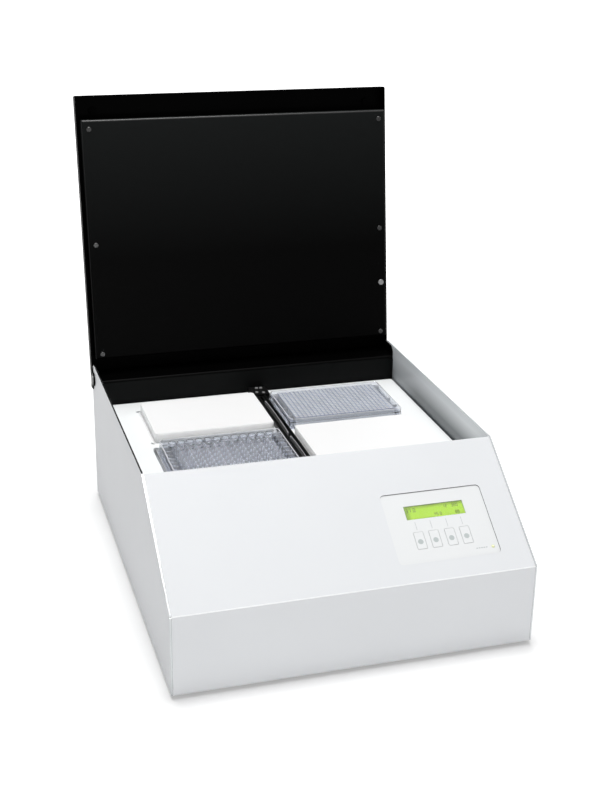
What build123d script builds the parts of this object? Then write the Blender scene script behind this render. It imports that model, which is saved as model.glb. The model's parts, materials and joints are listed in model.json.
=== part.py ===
"""Bench incubator for microplates: bent sheet case with a slanted control face, a hinged
black lid and a white orbital shaking deck with four plate nests.

Millimetres. X runs along the front from left to right, Y from the front to the back and Z up.
Everything is built with the front face at Y = 0 and the lower case edge at Z = 0, the lid is
built shut and then swung open, and the whole is moved to its own origin when it is saved:
the middle of its box, on the ground."""
import os
from math import atan2, cos, degrees, radians, sin
from build123d import *

# ---- case ----------------------------------------------------------------------------------
CASE_W = 335.0
CASE_D = 413.0
CASE_H = 155.2
FRONT_H = 76.4
SLANT_D = 115.4
SHEET = 1.5
FLANGE = 12.0
SEAM = 0.15
FOLD_R = 2.0
LIP_FLAT = 2.0
REAR_CORNER_R = 18.0
REAR_PANEL_DROP = 18.2
FOOT_R = 9.0
FOOT_H = 3.5
FOOT_INSET_X = 27.5
FOOT_INSET_Y = 32.0
CORNER_SCREW_INSET = 8.0
PIVOT_BACK = 16.0
PIVOT_DROP = 15.7
CHAMBER_DEPTH = 37.7
HALF = CASE_W / 2
INNER = HALF - SHEET
FOOT_X = HALF - FOOT_INSET_X
FOOT_Y = (FOOT_INSET_Y, CASE_D - FOOT_INSET_Y)
LIP_FACE_Y = SLANT_D + LIP_FLAT
REAR_PANEL_H = CASE_H - REAR_PANEL_DROP
PIVOT_Y = CASE_D - PIVOT_BACK
PIVOT_Z = CASE_H - PIVOT_DROP
DECK_TOP = CASE_H - CHAMBER_DEPTH

# ---- rear cover of the chamber -------------------------------------------------------------
COVER_T = 1.2
COVER_DEPTH = 35.4
COVER_DROP = 10.7
COVER_LAP = 15.0
COVER_R = 3.0
CHEEK_T = 0.9
CHEEK_DROP = 1.2
CHEEK_BELOW = 13.5
CHEEK_BACK = 3.0
CHEEK_R = 8.0
WALL_BELOW_DECK = 16.5
COVER_BACK_Y = CASE_D - SHEET - 0.1
COVER_FACE_Y = COVER_BACK_Y - COVER_DEPTH
COVER_TOP_Z = CASE_H - COVER_DROP
COVER_DOWN_Z = REAR_PANEL_H - COVER_LAP
CHEEK_TOP_Z = CASE_H - CHEEK_DROP
CHEEK_LOW_Z = PIVOT_Z - CHEEK_BELOW
CHEEK_BACK_Y = CASE_D - CHEEK_BACK
LIP_DOWN_Z = DECK_TOP - WALL_BELOW_DECK

# ---- lid -----------------------------------------------------------------------------------
LID_OPEN = 98.0
LID_SHEET = 1.2
LID_SIDE_GAP = 0.3
LID_OVERHANG = 15.4
LID_TOP = 20.0
LID_REAR = -12.0
LID_LIP = 6.8
LID_EDGE_R = 2.0
EAR_R = 7.0
EAR_RISE = 6.0
PANEL_SIDE_GAP = 1.4
PANEL_FRONT_GAP = 6.9
PANEL_REAR_GAP = 1.2
PANEL_LOW = -3.5
PANEL_SCREW_INSET = 7.1
PANEL_SCREW_REAR = 5.3
PANEL_SCREW_FRONT = 9.4
PANEL_SCREW_MID = -3.25
PROBE_INSET = 6.1
PROBE_UP = 61.2
BUFFER_INSET = 19.0
BUFFER_BACK = 16.0
BUFFER_T = 3.4
BUFFER_R = 4.0
CORE_INSET = 13.4
CORE_END_GAP = 4.8
STOP_INSET = 46.0
STOP_T = 0.85
LID_HALF_W = HALF + LID_SIDE_GAP + LID_SHEET
LID_FRONT = PIVOT_Y - SLANT_D + LID_OVERHANG
PANEL_HALF_W = INNER - PANEL_SIDE_GAP
PANEL_REAR = PIVOT_Y - COVER_FACE_Y + PANEL_REAR_GAP
PANEL_FRONT = PIVOT_Y - LIP_FACE_Y - PANEL_FRONT_GAP
PANEL_SCREW_X = PANEL_HALF_W - PANEL_SCREW_INSET
PANEL_SCREW_A = (PANEL_REAR + PANEL_SCREW_REAR, (PANEL_REAR + PANEL_FRONT) / 2 + PANEL_SCREW_MID,
                 PANEL_FRONT - PANEL_SCREW_FRONT)
PROBE_X = PANEL_HALF_W - PROBE_INSET
PROBE_A = PANEL_REAR + PROBE_UP
BUFFER_A = LID_FRONT - BUFFER_BACK
BOLT_HEAD_R = 5.5
BOLT_HEAD_T = 1.5
BOLT_SHOULDER_R = 3.0
BOLT_R = 2.0
NUT_AF = 7.0
NUT_T = 3.2
RUN_FIT = 0.05

# ---- deck and plates -----------------------------------------------------------------------
DECK_SIDE_GAP = 1.8
DECK_FRONT_GAP = 2.6
DECK_REAR_GAP = 1.8
DECK_SKIRT_T = 1.5
DECK_SKIRT_H = 17.5
HEATER_GAP = 1.5
BOARD_INSET = 6.0
MAT_INSET = 10.0
CARRIAGE_INSET = 9.2
DECK_HALF_W = INNER - DECK_SIDE_GAP
DECK_Y = (LIP_FACE_Y + DECK_FRONT_GAP, COVER_FACE_Y - DECK_REAR_GAP)
DECK_SKIRT_Z = DECK_TOP - DECK_SKIRT_H
PLATE_L = 127.76
PLATE_W = 85.48
PLATE_H = 14.35
PLATE_BODY_L = 123.0
PLATE_BODY_W = 81.4
PLATE_PROUD = 10.0
PLATE_CORNER_R = 3.0
NEST_GAP = 0.32
RAIL_MID = 4.2
COL_PITCH = 140.4
ROW_PITCH = 98.0
ROW_REAR_GAP = 1.26
CRANK_Y = sum(DECK_Y) / 2
COL_X = (RAIL_MID - COL_PITCH / 2, RAIL_MID + COL_PITCH / 2)
PLATE_Z = DECK_TOP + PLATE_PROUD - PLATE_H
RELIEF_R = 2.6
HEATER_T = 6.0
MAT_T = 1.5
BOARD_T = 8.0
CARRIAGE_T = 5.0
RAIL_W = 10.8
RAIL_FRONT = 40.0
RAIL_REAR = 2.2
RAIL_H = 4.0
RAIL_RIB_W = 1.8
RAIL_RIB_H = 5.6
RAIL_SLOT_W = 2.4
RAIL_END_W = (8.2, 10.6)
RAIL_END_L = 22.5
RAIL_END_H = 6.2
RAIL_X = (RAIL_MID - RAIL_W / 2, RAIL_MID + RAIL_W / 2)
RAIL_END = ((RAIL_MID - RAIL_END_W[0], RAIL_MID + RAIL_END_W[1]),
            (DECK_Y[1] - RAIL_REAR - RAIL_END_L, DECK_Y[1] - RAIL_REAR))
RAIL_Y = (DECK_Y[0] + RAIL_FRONT, RAIL_END[1][0] + 0.5)
LAST_ROW = RAIL_END[1][0] - ROW_REAR_GAP - PLATE_W / 2
ROW_Y = (LAST_ROW - ROW_PITCH, LAST_ROW)
SPRING_T = 0.5
SPRING_PROUD = 6.8
SLOT_W = 3.2

# ---- shaker --------------------------------------------------------------------------------
ORBIT_R = 1.0
IDLER_X = 96.0
IDLER_DY = 76.0
FRAME_T = 4.0
FRAME_RIM_X = 29.0
FRAME_RIM_Y = 28.0
LEG_OUT_X = 20.0
LEG_OUT_Y = 19.0
LEG_W = 14.0
BOSS_R = 13.0
BOSS_H = 10.0
CRANK_ROOM = 12.65
BEARING_R = 9.5
BEARING_T = 6.0
JOURNAL_R = 3.5
PIN_R = 3.0
DRIVE_PIN_R = 4.0
WEB_GAP = 0.6
WEB_T = 4.0
PIN_GAP = 0.65
OPEN_PIVOT_FIT = 0.35
BUSH_R = 8.0
BUSH_FLANGE_R = 10.0
BUSH_FLANGE_T = 1.2
MOTOR_W = 56.0
MOTOR_R = 26.0
MOTOR_H = 39.0
MOTOR_PLATE = 5.0

# ---- control face (x along the front, s up the slant from the fold, n out of the face) ------
SLANT = degrees(atan2(CASE_H - FRONT_H, SLANT_D))
OVERLAY_EDGE = 28.7
OVERLAY_W = 97.3
OVERLAY_S = (18.7, 90.0)
OVERLAY_DEEP = 0.7
OVERLAY_FLANGE = 4.0
OVERLAY_FLANGE_T = 1.2
OVERLAY_R = 4.0
WINDOW_IN = (19.2, 76.5)
WINDOW_S = (62.4, 76.4)
KEY_IN = (25.7, 40.3, 55.5, 70.0)
KEY_S = (32.4, 49.3)
KEY_W = 9.0
KEY_GAP = 0.3
KEY_PROUD = 0.15
KEY_TRAVEL = 0.4
LED_IN = 91.4
LED_S = 25.9
LED_R = 1.5

# ---- rear fittings -------------------------------------------------------------------------
INLET_AT = (-112.0, 52.0)
SWITCH_AT = (-62.0, 52.0)
SERIAL_AT = (92.0, 46.0)
ROCKER_TILT = 8.0

HEATER_Z = PLATE_Z - HEATER_T
MAT_Z = HEATER_Z - MAT_T
BOARD_Z = MAT_Z - BOARD_T
CARRIAGE_Z = BOARD_Z - CARRIAGE_T
PIN_TOP = CARRIAGE_Z + CARRIAGE_T - PIN_GAP
BOSS_TOP = CARRIAGE_Z - CRANK_ROOM
FRAME_Z = BOSS_TOP - BOSS_H - FRAME_T
WEB_Z = BOSS_TOP + WEB_GAP
IDLERS = [(x, CRANK_Y + dy) for x in (-IDLER_X, IDLER_X) for dy in (-IDLER_DY, IDLER_DY)]
OVERLAY_X = (HALF - OVERLAY_EDGE - OVERLAY_W, HALF - OVERLAY_EDGE)
WINDOW_X = [OVERLAY_X[0] + v for v in WINDOW_IN]
KEY_X = [OVERLAY_X[0] + v for v in KEY_IN]
LED_AT = (OVERLAY_X[0] + LED_IN, LED_S)
slant_normal = (0, -sin(radians(SLANT)), cos(radians(SLANT)))
on_slant = Plane((0, 0, FRONT_H), x_dir=(1, 0, 0), z_dir=slant_normal).location
nodes = {}


def box(x, y, z):
    """Box between two values on each axis."""
    size = (x[1] - x[0], y[1] - y[0], z[1] - z[0])
    return Pos((x[0] + x[1]) / 2, (y[0] + y[1]) / 2, (z[0] + z[1]) / 2) * Box(*size)


def grown(span, by):
    """The span made longer by the same amount at both ends."""
    return (span[0] - by, span[1] + by)


def soft_box(x, y, z, radius):
    """Box with its upright edges rounded."""
    return fillet(box(x, y, z).edges().filter_by(Axis.Z), radius)


def post(x, y, z, radius):
    """Upright cylinder from z[0] to z[1]."""
    return Pos(x, y, (z[0] + z[1]) / 2) * Cylinder(radius, z[1] - z[0])


def hex_post(x, y, z, radius):
    """Upright six-sided pillar from z[0] to z[1]."""
    return Pos(x, y, z[0]) * extrude(RegularPolygon(radius, 6), z[1] - z[0])


def rod_x(x, y, z, radius):
    """Cylinder along X from x[0] to x[1]."""
    return Pos((x[0] + x[1]) / 2, y, z) * Rot(0, 90, 0) * Cylinder(radius, x[1] - x[0])


def rod_y(x, y, z, radius):
    """Cylinder along Y from y[0] to y[1]."""
    return Pos(x, (y[0] + y[1]) / 2, z) * Rot(90, 0, 0) * Cylinder(radius, y[1] - y[0])


def profile(face, x):
    """Face drawn in (Y, Z), pulled along X from x[0] to x[1]."""
    return Pos(x[0], 0, 0) * extrude(Plane.YZ * face, x[1] - x[0])


def bent_sheet(points, thickness, radius, x):
    """Sheet that follows the points, with its thickness on the right hand side of the path."""
    line = FilletPolyline(*points, radius=radius)
    edge = offset(line, amount=thickness, side=Side.RIGHT)
    return profile(make_face(edge.edges()), x)


def group(shapes):
    """Several loose solids as one node."""
    solids = []
    for shape in shapes:
        solids += shape.solids()
    return Compound(children=solids)


def mirrored(shape):
    """The shape and its twin on the other side of the case."""
    return [shape, mirror(shape, about=Plane.YZ)]


# ---- case ----------------------------------------------------------------------------------
def make_base_pan():
    x = (-INNER, INNER)
    y = (SHEET, CASE_D - SHEET)
    pan = box(x, y, (0, FLANGE)) - box(grown(x, -SHEET), grown(y, -SHEET), (SHEET, 2 * FLANGE))
    for i in range(7):
        sx = -48 + 16 * i
        pan -= box((sx - 2, sx + 2), (330, 372), (-1, SHEET + 1))
    for fx in (-FOOT_X, FOOT_X):
        for fy in FOOT_Y:
            pan -= post(fx, fy, (-1, SHEET + 1), 2.1)
    return pan


def make_front_panel():
    top = FRONT_H + LIP_FACE_Y * (CASE_H - FRONT_H) / SLANT_D
    path = [(0, 0), (0, FRONT_H), (LIP_FACE_Y, top), (LIP_FACE_Y, LIP_DOWN_Z)]
    panel = bent_sheet(path, SHEET, FOLD_R, (-INNER + SEAM, INNER - SEAM))
    return panel - on_slant * soft_box(OVERLAY_X, OVERLAY_S, (-SHEET - 1, 1), OVERLAY_R)


def make_side_panel(side):
    outline = Polyline((0, 0), (0, FRONT_H), (SLANT_D, CASE_H), (CASE_D, CASE_H), (CASE_D, 0), close=True)
    face = make_face(outline)
    corner = face.vertices().filter_by(lambda v: v.Y > CASE_H - 1 and v.X > CASE_D - 1)
    face = fillet(corner, REAR_CORNER_R)
    fold = face.vertices().filter_by(lambda v: abs(v.X) < 1 and v.Y > 1)
    face = fillet(fold, FOLD_R)
    panel = profile(face, (INNER, HALF)) - rod_x((INNER - 1, HALF + 1), PIVOT_Y, PIVOT_Z, BOLT_R + RUN_FIT)
    return panel if side > 0 else mirror(panel, about=Plane.YZ)


def make_rear_panel():
    y = (CASE_D - SHEET, CASE_D)
    panel = box((-INNER + SEAM, INNER - SEAM), y, (0, REAR_PANEL_H))
    for side in (-1, 1):
        x = sorted((side * (INNER - SEAM), side * (INNER - SEAM - SHEET)))
        panel += box(x, (y[0] - FLANGE, y[0]), (FLANGE + 2, COVER_DOWN_Z - 2))
    for i in range(11):
        vx = 25 + 9 * i
        panel -= soft_slot(vx, (70, 104), y)
    ix, iz = INLET_AT
    panel -= box((ix - 14, ix + 14), (y[0] - 1, y[1] + 1), (iz - 24, iz + 24))
    sx, sz = SWITCH_AT
    panel -= box((sx - 10, sx + 10), (y[0] - 1, y[1] + 1), (sz - 14, sz + 14))
    px, pz = SERIAL_AT
    panel -= box((px - 9.5, px + 9.5), (y[0] - 1, y[1] + 1), (pz - 5.2, pz + 5.2))
    return panel


def soft_slot(x, z, y):
    """Upright vent slot with round ends through the rear panel."""
    width = 3.6
    slot = box((x - width / 2, x + width / 2), (y[0] - 1, y[1] + 1), z)
    for end in z:
        slot += rod_y(x, (y[0] - 1, y[1] + 1), end, width / 2)
    return slot


def make_rear_cover():
    path = [(COVER_FACE_Y, LIP_DOWN_Z), (COVER_FACE_Y, COVER_TOP_Z),
            (COVER_BACK_Y, COVER_TOP_Z), (COVER_BACK_Y, COVER_DOWN_Z)]
    cover = bent_sheet(path, COVER_T, COVER_R, (-INNER + SEAM, INNER - SEAM))
    cheek_y = (COVER_FACE_Y + COVER_T, CHEEK_BACK_Y)
    cheek_face = Pos(sum(cheek_y) / 2, (CHEEK_TOP_Z + CHEEK_LOW_Z) / 2) * Rectangle(
        cheek_y[1] - cheek_y[0], CHEEK_TOP_Z - CHEEK_LOW_Z)
    cheek_face = fillet(cheek_face.vertices().filter_by(lambda v: v.Y > COVER_TOP_Z), CHEEK_R)
    cheek = profile(cheek_face, (INNER - SEAM - CHEEK_T, INNER - SEAM))
    bore = rod_x((INNER - 3, INNER + 1), PIVOT_Y, PIVOT_Z, BOLT_R + RUN_FIT)
    notch_y = (COVER_FACE_Y - 1, COVER_FACE_Y + COVER_T)
    notch = box((INNER - 4, INNER + 1), notch_y, (COVER_TOP_Z - 4, COVER_TOP_Z + 1))
    for part in mirrored(cheek):
        cover += part
    for part in mirrored(bore) + mirrored(notch):
        cover -= part
    return cover


nodes["base_pan"] = make_base_pan()
nodes["front_panel"] = make_front_panel()
nodes["left_side_panel"] = make_side_panel(-1)
nodes["right_side_panel"] = make_side_panel(1)
nodes["rear_panel"] = make_rear_panel()
nodes["rear_cover"] = make_rear_cover()

feet = []
for fx in (-FOOT_X, FOOT_X):
    for fy in FOOT_Y:
        foot = chamfer(post(fx, fy, (-FOOT_H, 0), FOOT_R).faces().sort_by(Axis.Z)[0].edges(), 0.8)
        feet.append(foot + post(fx, fy, (0, SHEET + 1.5), 2.0))
nodes["rubber_feet"] = group(feet)


def pan_head(x, y, z):
    """Screw with a low round head against the rear face, shank pointing forward."""
    head = rod_y(x, (y, y + 1.6), z, 3.2)
    head = chamfer(head.faces().sort_by(Axis.Y)[-1].edges(), 0.6)
    return head + rod_y(x, (y - 6, y), z, 1.4) - box((x - 2, x + 2), (y + 1.0, y + 2), (z - 0.4, z + 0.4))


screw_x = INNER - CORNER_SCREW_INSET
screw_low = SHEET + 5.5
screw_high = COVER_DOWN_Z - 10.0
screw_spots = [(x, screw_low) for x in (-screw_x, 0, screw_x)]
screw_spots += [(x, screw_high) for x in (-screw_x, screw_x)]
for sx, sz in screw_spots:
    bore = rod_y(sx, (CASE_D - 20, CASE_D), sz, 1.4 + RUN_FIT)
    nodes["rear_panel"] -= bore
    nodes["base_pan"] -= bore
nodes["housing_screws"] = group([pan_head(sx, CASE_D, sz) for sx, sz in screw_spots])

# ---- control face --------------------------------------------------------------------------
FACE_N = -OVERLAY_DEEP
BACK_N = -SHEET - OVERLAY_FLANGE_T
overlay = soft_box(grown(OVERLAY_X, -SEAM), grown(OVERLAY_S, -SEAM), (BACK_N, FACE_N), OVERLAY_R - SEAM)
overlay += box(grown(OVERLAY_X, OVERLAY_FLANGE), grown(OVERLAY_S, OVERLAY_FLANGE), (BACK_N, -SHEET))
overlay -= box(WINDOW_X, WINDOW_S, (-9, 9))
for kx in KEY_X:
    hw = KEY_W / 2 + KEY_GAP
    overlay -= soft_box((kx - hw, kx + hw), grown(KEY_S, KEY_GAP), (-9, 9), 0.8 + KEY_GAP)
overlay -= post(*LED_AT, (-9, 9), LED_R + 0.1)
nodes["control_overlay"] = on_slant * overlay

glass_x = (WINDOW_X[0] + 0.2, WINDOW_X[1] - 0.2)
glass_s = (WINDOW_S[0] + 0.2, WINDOW_S[1] - 0.2)
nodes["display_window"] = on_slant * box(glass_x, glass_s, (FACE_N - 1.2, FACE_N - 0.2))
module = box(glass_x, glass_s, (-6.0, FACE_N - 1.4))
module += box(grown(WINDOW_X, 6), grown(WINDOW_S, 5), (-7.6, -6.0))
nodes["display_module"] = on_slant * module
nodes["status_led"] = on_slant * (
    post(*LED_AT, (-7.4, FACE_N - 0.4), LED_R)
    + Pos(*LED_AT, FACE_N - 0.4) * (Sphere(LED_R) & Pos(0, 0, 5) * Box(10, 10, 10)))


def make_key(kx):
    """Key cap with a hidden flange behind the panel and a stem over its switch."""
    cap = soft_box((kx - KEY_W / 2, kx + KEY_W / 2), KEY_S, (BACK_N - 0.2, FACE_N + KEY_PROUD), 0.8)
    cap = chamfer(cap.faces().sort_by(Axis.Z)[-1].edges(), 0.1)
    cap += box((kx - KEY_W / 2 - 1, kx + KEY_W / 2 + 1), grown(KEY_S, 1), (BACK_N - 1.0, BACK_N - 0.05))
    return on_slant * (cap + post(kx, sum(KEY_S) / 2, (BACK_N - 1.7, BACK_N - 1.0), 2.0))


for i, kx in enumerate(KEY_X):
    nodes[f"key_{i + 1}"] = make_key(kx)

BOARD_N = -7.4
board_x = (OVERLAY_X[0] + 13.5, OVERLAY_X[1] - 1.8)
board_s = (22.0, 56.0)
board = box(board_x, board_s, (BOARD_N - 1.6, BOARD_N))
for kx in KEY_X:
    board += box((kx - 3, kx + 3), (sum(KEY_S) / 2 - 3, sum(KEY_S) / 2 + 3), (BOARD_N, -5.6))
    board += post(kx, sum(KEY_S) / 2, (-5.6, BACK_N - 1.7 - KEY_TRAVEL - 0.1), 1.6)
board += box((board_x[1] - 37, board_x[1] - 12), (23, 29), (BOARD_N - 4.6, BOARD_N - 1.6))
board_bores = [(board_x[0] + 3, 25), (board_x[0] + 3, 53), (board_x[1] - 3, 53), (board_x[1] - 16.5, 25)]
posts = [hex_post(px, ps, (BOARD_N, BACK_N), 2.4) for px, ps in board_bores]
posts += [hex_post(px, ps, (-6.0, BACK_N), 1.6) for px in grown(WINDOW_X, 3.1) for ps in (59.5, 79.5)]
nodes["control_board"] = on_slant * board
nodes["board_posts"] = group([on_slant * p for p in posts])

# ---- electronics in the front of the case ---------------------------------------------------
SUPPLY_X = (16.0 - INNER, 114.0 - INNER)
SUPPLY_Y = (16.0, 98.0)
SUPPLY_TOP = 38.0
supply = box(SUPPLY_X, SUPPLY_Y, (SHEET + 4, SUPPLY_TOP))
for i in range(9):
    gx = SUPPLY_X[0] + 8 + 9 * i
    supply -= box((gx, gx + 4), grown(SUPPLY_Y, -10), (SUPPLY_TOP - 1.2, SUPPLY_TOP + 1))
for sx in grown(SUPPLY_X, -6):
    for sy in grown(SUPPLY_Y, -6):
        supply += hex_post(sx, sy, (SHEET, SHEET + 4), 3.0)
nodes["power_supply"] = supply

MAIN_X = (SUPPLY_X[1] + 18, INNER - 20)
MAIN_Y = (18.0, 100.0)
main_low = SHEET + 8
main_top = main_low + 1.6
main = box(MAIN_X, MAIN_Y, (main_low, main_top))
chips = [((10, 46), (6, 36), 26), ((58, 78), (8, 26), 15), ((84, 104), (8, 26), 15),
         ((108, 122), (12, 32), 3), ((126, 140), (6, 12), 9), ((14, 90), (68, 76), 9),
         ((96, 140), (56, 74), 20)]
for x, y, h in chips:
    main += box([MAIN_X[0] + v for v in x], [MAIN_Y[0] + v for v in y], (main_top, main_top + h))
for cx in (30, 48, 66):
    main += hex_post(MAIN_X[0] + cx, MAIN_Y[0] + 50, (main_top, main_top + 20), 6.0)
for sx in grown(MAIN_X, -6):
    for sy in grown(MAIN_Y, -6):
        main += hex_post(sx, sy, (SHEET, main_low), 3.0)
nodes["main_board"] = main

# ---- rear fittings -------------------------------------------------------------------------
ix, iz = INLET_AT
inlet = Pos(ix, CASE_D + 1.25, iz) * Rot(90, 0, 0) * fillet(Box(31, 51, 2.5).edges().filter_by(Axis.Z), 3)
inlet += box((ix - 13.7, ix + 13.7), (CASE_D - 24, CASE_D), (iz - 23.7, iz + 23.7))
inlet -= box((ix - 11.5, ix + 11.5), (CASE_D - 15, CASE_D + 3), (iz - 20, iz - 1))
inlet -= box((ix - 10.3, ix + 10.3), (CASE_D - 18, CASE_D + 3), (iz + 4.2, iz + 20.8))
for px, pz in ((ix - 7, iz - 13), (ix + 7, iz - 13), (ix, iz - 8)):
    inlet += box((px - 1, px + 1), (CASE_D - 15, CASE_D - 2), (pz - 2, pz + 2))
nodes["mains_inlet"] = inlet
drawer = box((ix - 10, ix + 10), (CASE_D - 17.5, CASE_D + 3.2), (iz + 4.5, iz + 20.5))
drawer -= box((ix - 4, ix + 4), (CASE_D + 2.2, CASE_D + 4), (iz + 17.0, iz + 21))
nodes["fuse_drawer"] = drawer

sx, sz = SWITCH_AT
frame = box((sx - 12, sx + 12), (CASE_D, CASE_D + 2), (sz - 16, sz + 16))
frame += box((sx - 9.8, sx + 9.8), (CASE_D - 20, CASE_D), (sz - 13.8, sz + 13.8))
frame -= box((sx - 7.5, sx + 7.5), (CASE_D - 10, CASE_D + 3), (sz - 11.5, sz + 11.5))
for px in (sx - 7.5, sx + 7.5):
    side = 1 if px > sx else -1
    frame += rod_x(sorted((px, px - side * 1.0)), CASE_D - 3.5, sz, 1.2)
nodes["switch_frame"] = frame
rocker_line = Polyline((-8.0, 3.0), (-8.0, -3.0), (-2.4, -10.6), (1.9, -10.6),
                       (0.4, 0.0), (1.9, 10.6), (-2.4, 10.6), close=True)
rocker = Pos(0, CASE_D, sz) * profile(make_face(rocker_line), (sx - 7.0, sx + 7.0))
rocker -= rod_x((sx - 8, sx - 6.3), CASE_D - 3.5, sz, 1.2 + RUN_FIT)
rocker -= rod_x((sx + 6.3, sx + 8), CASE_D - 3.5, sz, 1.2 + RUN_FIT)
nodes["power_rocker"] = rocker.rotate(Axis((0, CASE_D - 3.5, sz), (1, 0, 0)), ROCKER_TILT)

px, pz = SERIAL_AT
port = box((px - 15.4, px + 15.4), (CASE_D, CASE_D + 0.8), (pz - 6.2, pz + 6.2))
shell_face = Polyline((-8.6, 4.3), (8.6, 4.3), (7.2, -4.3), (-7.2, -4.3), close=True)
shell = Pos(px, CASE_D + 6, pz) * Rot(90, 0, 0) * extrude(make_face(shell_face), 14)
hollow_face = Polyline((-7.9, 3.6), (7.9, 3.6), (6.7, -3.6), (-6.7, -3.6), close=True)
shell -= Pos(px, CASE_D + 7, pz) * Rot(90, 0, 0) * extrude(make_face(hollow_face), 9)
port += shell
for row, count in ((1.4, 5), (-1.4, 4)):
    for i in range(count):
        pin = px + 2.76 * (i - (count - 1) / 2)
        port += box((pin - 0.5, pin + 0.5), (CASE_D - 2.5, CASE_D + 4.5), (pz + row - 0.5, pz + row + 0.5))
for ex in (-12.5, 12.5):
    port += Pos(px + ex, CASE_D + 2.8, pz) * Rot(90, 0, 0) * extrude(RegularPolygon(2.6, 6), 2.0, both=True)
nodes["serial_port"] = port

# ---- shaker --------------------------------------------------------------------------------
frame_x = IDLER_X + FRAME_RIM_X
frame_y = IDLER_DY + FRAME_RIM_Y
frame = soft_box((-frame_x, frame_x), grown((CRANK_Y, CRANK_Y), frame_y), (FRAME_Z, FRAME_Z + FRAME_T), 10)
window_x = (MOTOR_W / 2 + 6, IDLER_X - BOSS_R - 9)
window_y = grown((CRANK_Y, CRANK_Y), IDLER_DY - BOSS_R - 8)
for part in mirrored(soft_box(window_x, window_y, (FRAME_Z - 1, FRAME_Z + 9), 8)):
    frame -= part
for lx in (-IDLER_X - LEG_OUT_X, IDLER_X + LEG_OUT_X):
    for ly in grown((CRANK_Y, CRANK_Y), IDLER_DY + LEG_OUT_Y):
        frame += box(grown((lx, lx), LEG_W / 2), grown((ly, ly), LEG_W / 2), (SHEET, FRAME_Z))
bearings = []
for bx, by in IDLERS + [(0, CRANK_Y)]:
    frame += post(bx, by, (FRAME_Z + FRAME_T, BOSS_TOP), BOSS_R)
    frame -= post(bx, by, (BOSS_TOP - BEARING_T - 1, BOSS_TOP + 1), BEARING_R + RUN_FIT)
    frame -= post(bx, by, (FRAME_Z - 1, BOSS_TOP), JOURNAL_R + 2.0)
    ring = post(bx, by, (BOSS_TOP - BEARING_T - 1, BOSS_TOP - 0.4), BEARING_R)
    bearings.append(ring - post(bx, by, (FRAME_Z, BOSS_TOP + 1), JOURNAL_R + RUN_FIT))
nodes["shaker_frame"] = frame
nodes["crank_bearings"] = group(bearings)

motor_low = FRAME_Z - MOTOR_PLATE - MOTOR_H
motor_y = grown((CRANK_Y, CRANK_Y), MOTOR_W / 2)
motor_top = FRAME_Z - MOTOR_PLATE
motor = soft_box((-MOTOR_W / 2, MOTOR_W / 2), motor_y, (motor_top, FRAME_Z), 4)
motor += post(0, CRANK_Y, (motor_low, motor_top), MOTOR_R)
motor += post(0, CRANK_Y, (motor_low - 4, motor_low), 10)
motor -= post(0, CRANK_Y, (FRAME_Z - 16, FRAME_Z + 1), JOURNAL_R + 1.0)
nodes["drive_motor"] = motor

crank = post(0, CRANK_Y, (FRAME_Z - 12, WEB_Z), JOURNAL_R)
crank += post(0, CRANK_Y, (WEB_Z, WEB_Z + WEB_T), 12)
weight_z = (WEB_Z, WEB_Z + WEB_T + 3)
weight = post(0, CRANK_Y, weight_z, 26) & box((-30, 30), (CRANK_Y - 30, CRANK_Y - 6), weight_z)
crank += weight + box((-8, 8), (CRANK_Y - 14, CRANK_Y), (WEB_Z, WEB_Z + WEB_T))
crank += post(0, CRANK_Y + ORBIT_R, (WEB_Z + WEB_T, PIN_TOP), DRIVE_PIN_R)
nodes["drive_crank"] = crank
for i, (bx, by) in enumerate(IDLERS):
    idler = post(bx, by, (BOSS_TOP - BEARING_T - 4, WEB_Z), JOURNAL_R)
    idler += post(bx, by, (WEB_Z, WEB_Z + WEB_T), 9)
    idler += post(bx, by + ORBIT_R, (WEB_Z + WEB_T, PIN_TOP), PIN_R)
    nodes[f"idler_crank_{i + 1}"] = idler

# ---- shaking platform (drawn where the orbit holds it at rest) -------------------------------
bushes = []
deck_x = (-DECK_HALF_W, DECK_HALF_W)
carriage_z = (CARRIAGE_Z, CARRIAGE_Z + CARRIAGE_T)
carriage = soft_box(grown(deck_x, -CARRIAGE_INSET), grown(DECK_Y, -MAT_INSET), carriage_z, 8)
side_window = soft_box((IDLER_X + 2, IDLER_X + 42), (CRANK_Y - 45, CRANK_Y + 45), grown(carriage_z, 1), 8)
for part in mirrored(side_window):
    carriage -= part
for bx, by in IDLERS + [(0, CRANK_Y)]:
    pin = DRIVE_PIN_R + RUN_FIT if bx == 0 else PIN_R + OPEN_PIVOT_FIT
    py = by + ORBIT_R
    bush = post(bx, py, (CARRIAGE_Z, CARRIAGE_Z + CARRIAGE_T), BUSH_R)
    bush += post(bx, py, (CARRIAGE_Z - BUSH_FLANGE_T, CARRIAGE_Z), BUSH_FLANGE_R)
    bushes.append(bush - post(bx, py, (0, 2 * CASE_H), pin))
    carriage -= post(bx, py, (0, 2 * CASE_H), BUSH_R + RUN_FIT)
nodes["carriage_plate"] = carriage
nodes["platform_bushes"] = group(bushes)
inset = DECK_SKIRT_T + HEATER_GAP
nodes["insulation_board"] = box(grown(deck_x, -BOARD_INSET), grown(DECK_Y, -BOARD_INSET), (BOARD_Z, MAT_Z))
nodes["heater_mat"] = box(grown(deck_x, -MAT_INSET), grown(DECK_Y, -MAT_INSET), (MAT_Z, HEATER_Z))
nodes["heater_plate"] = box(grown(deck_x, -inset), grown(DECK_Y, -inset), (HEATER_Z, PLATE_Z))

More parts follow.
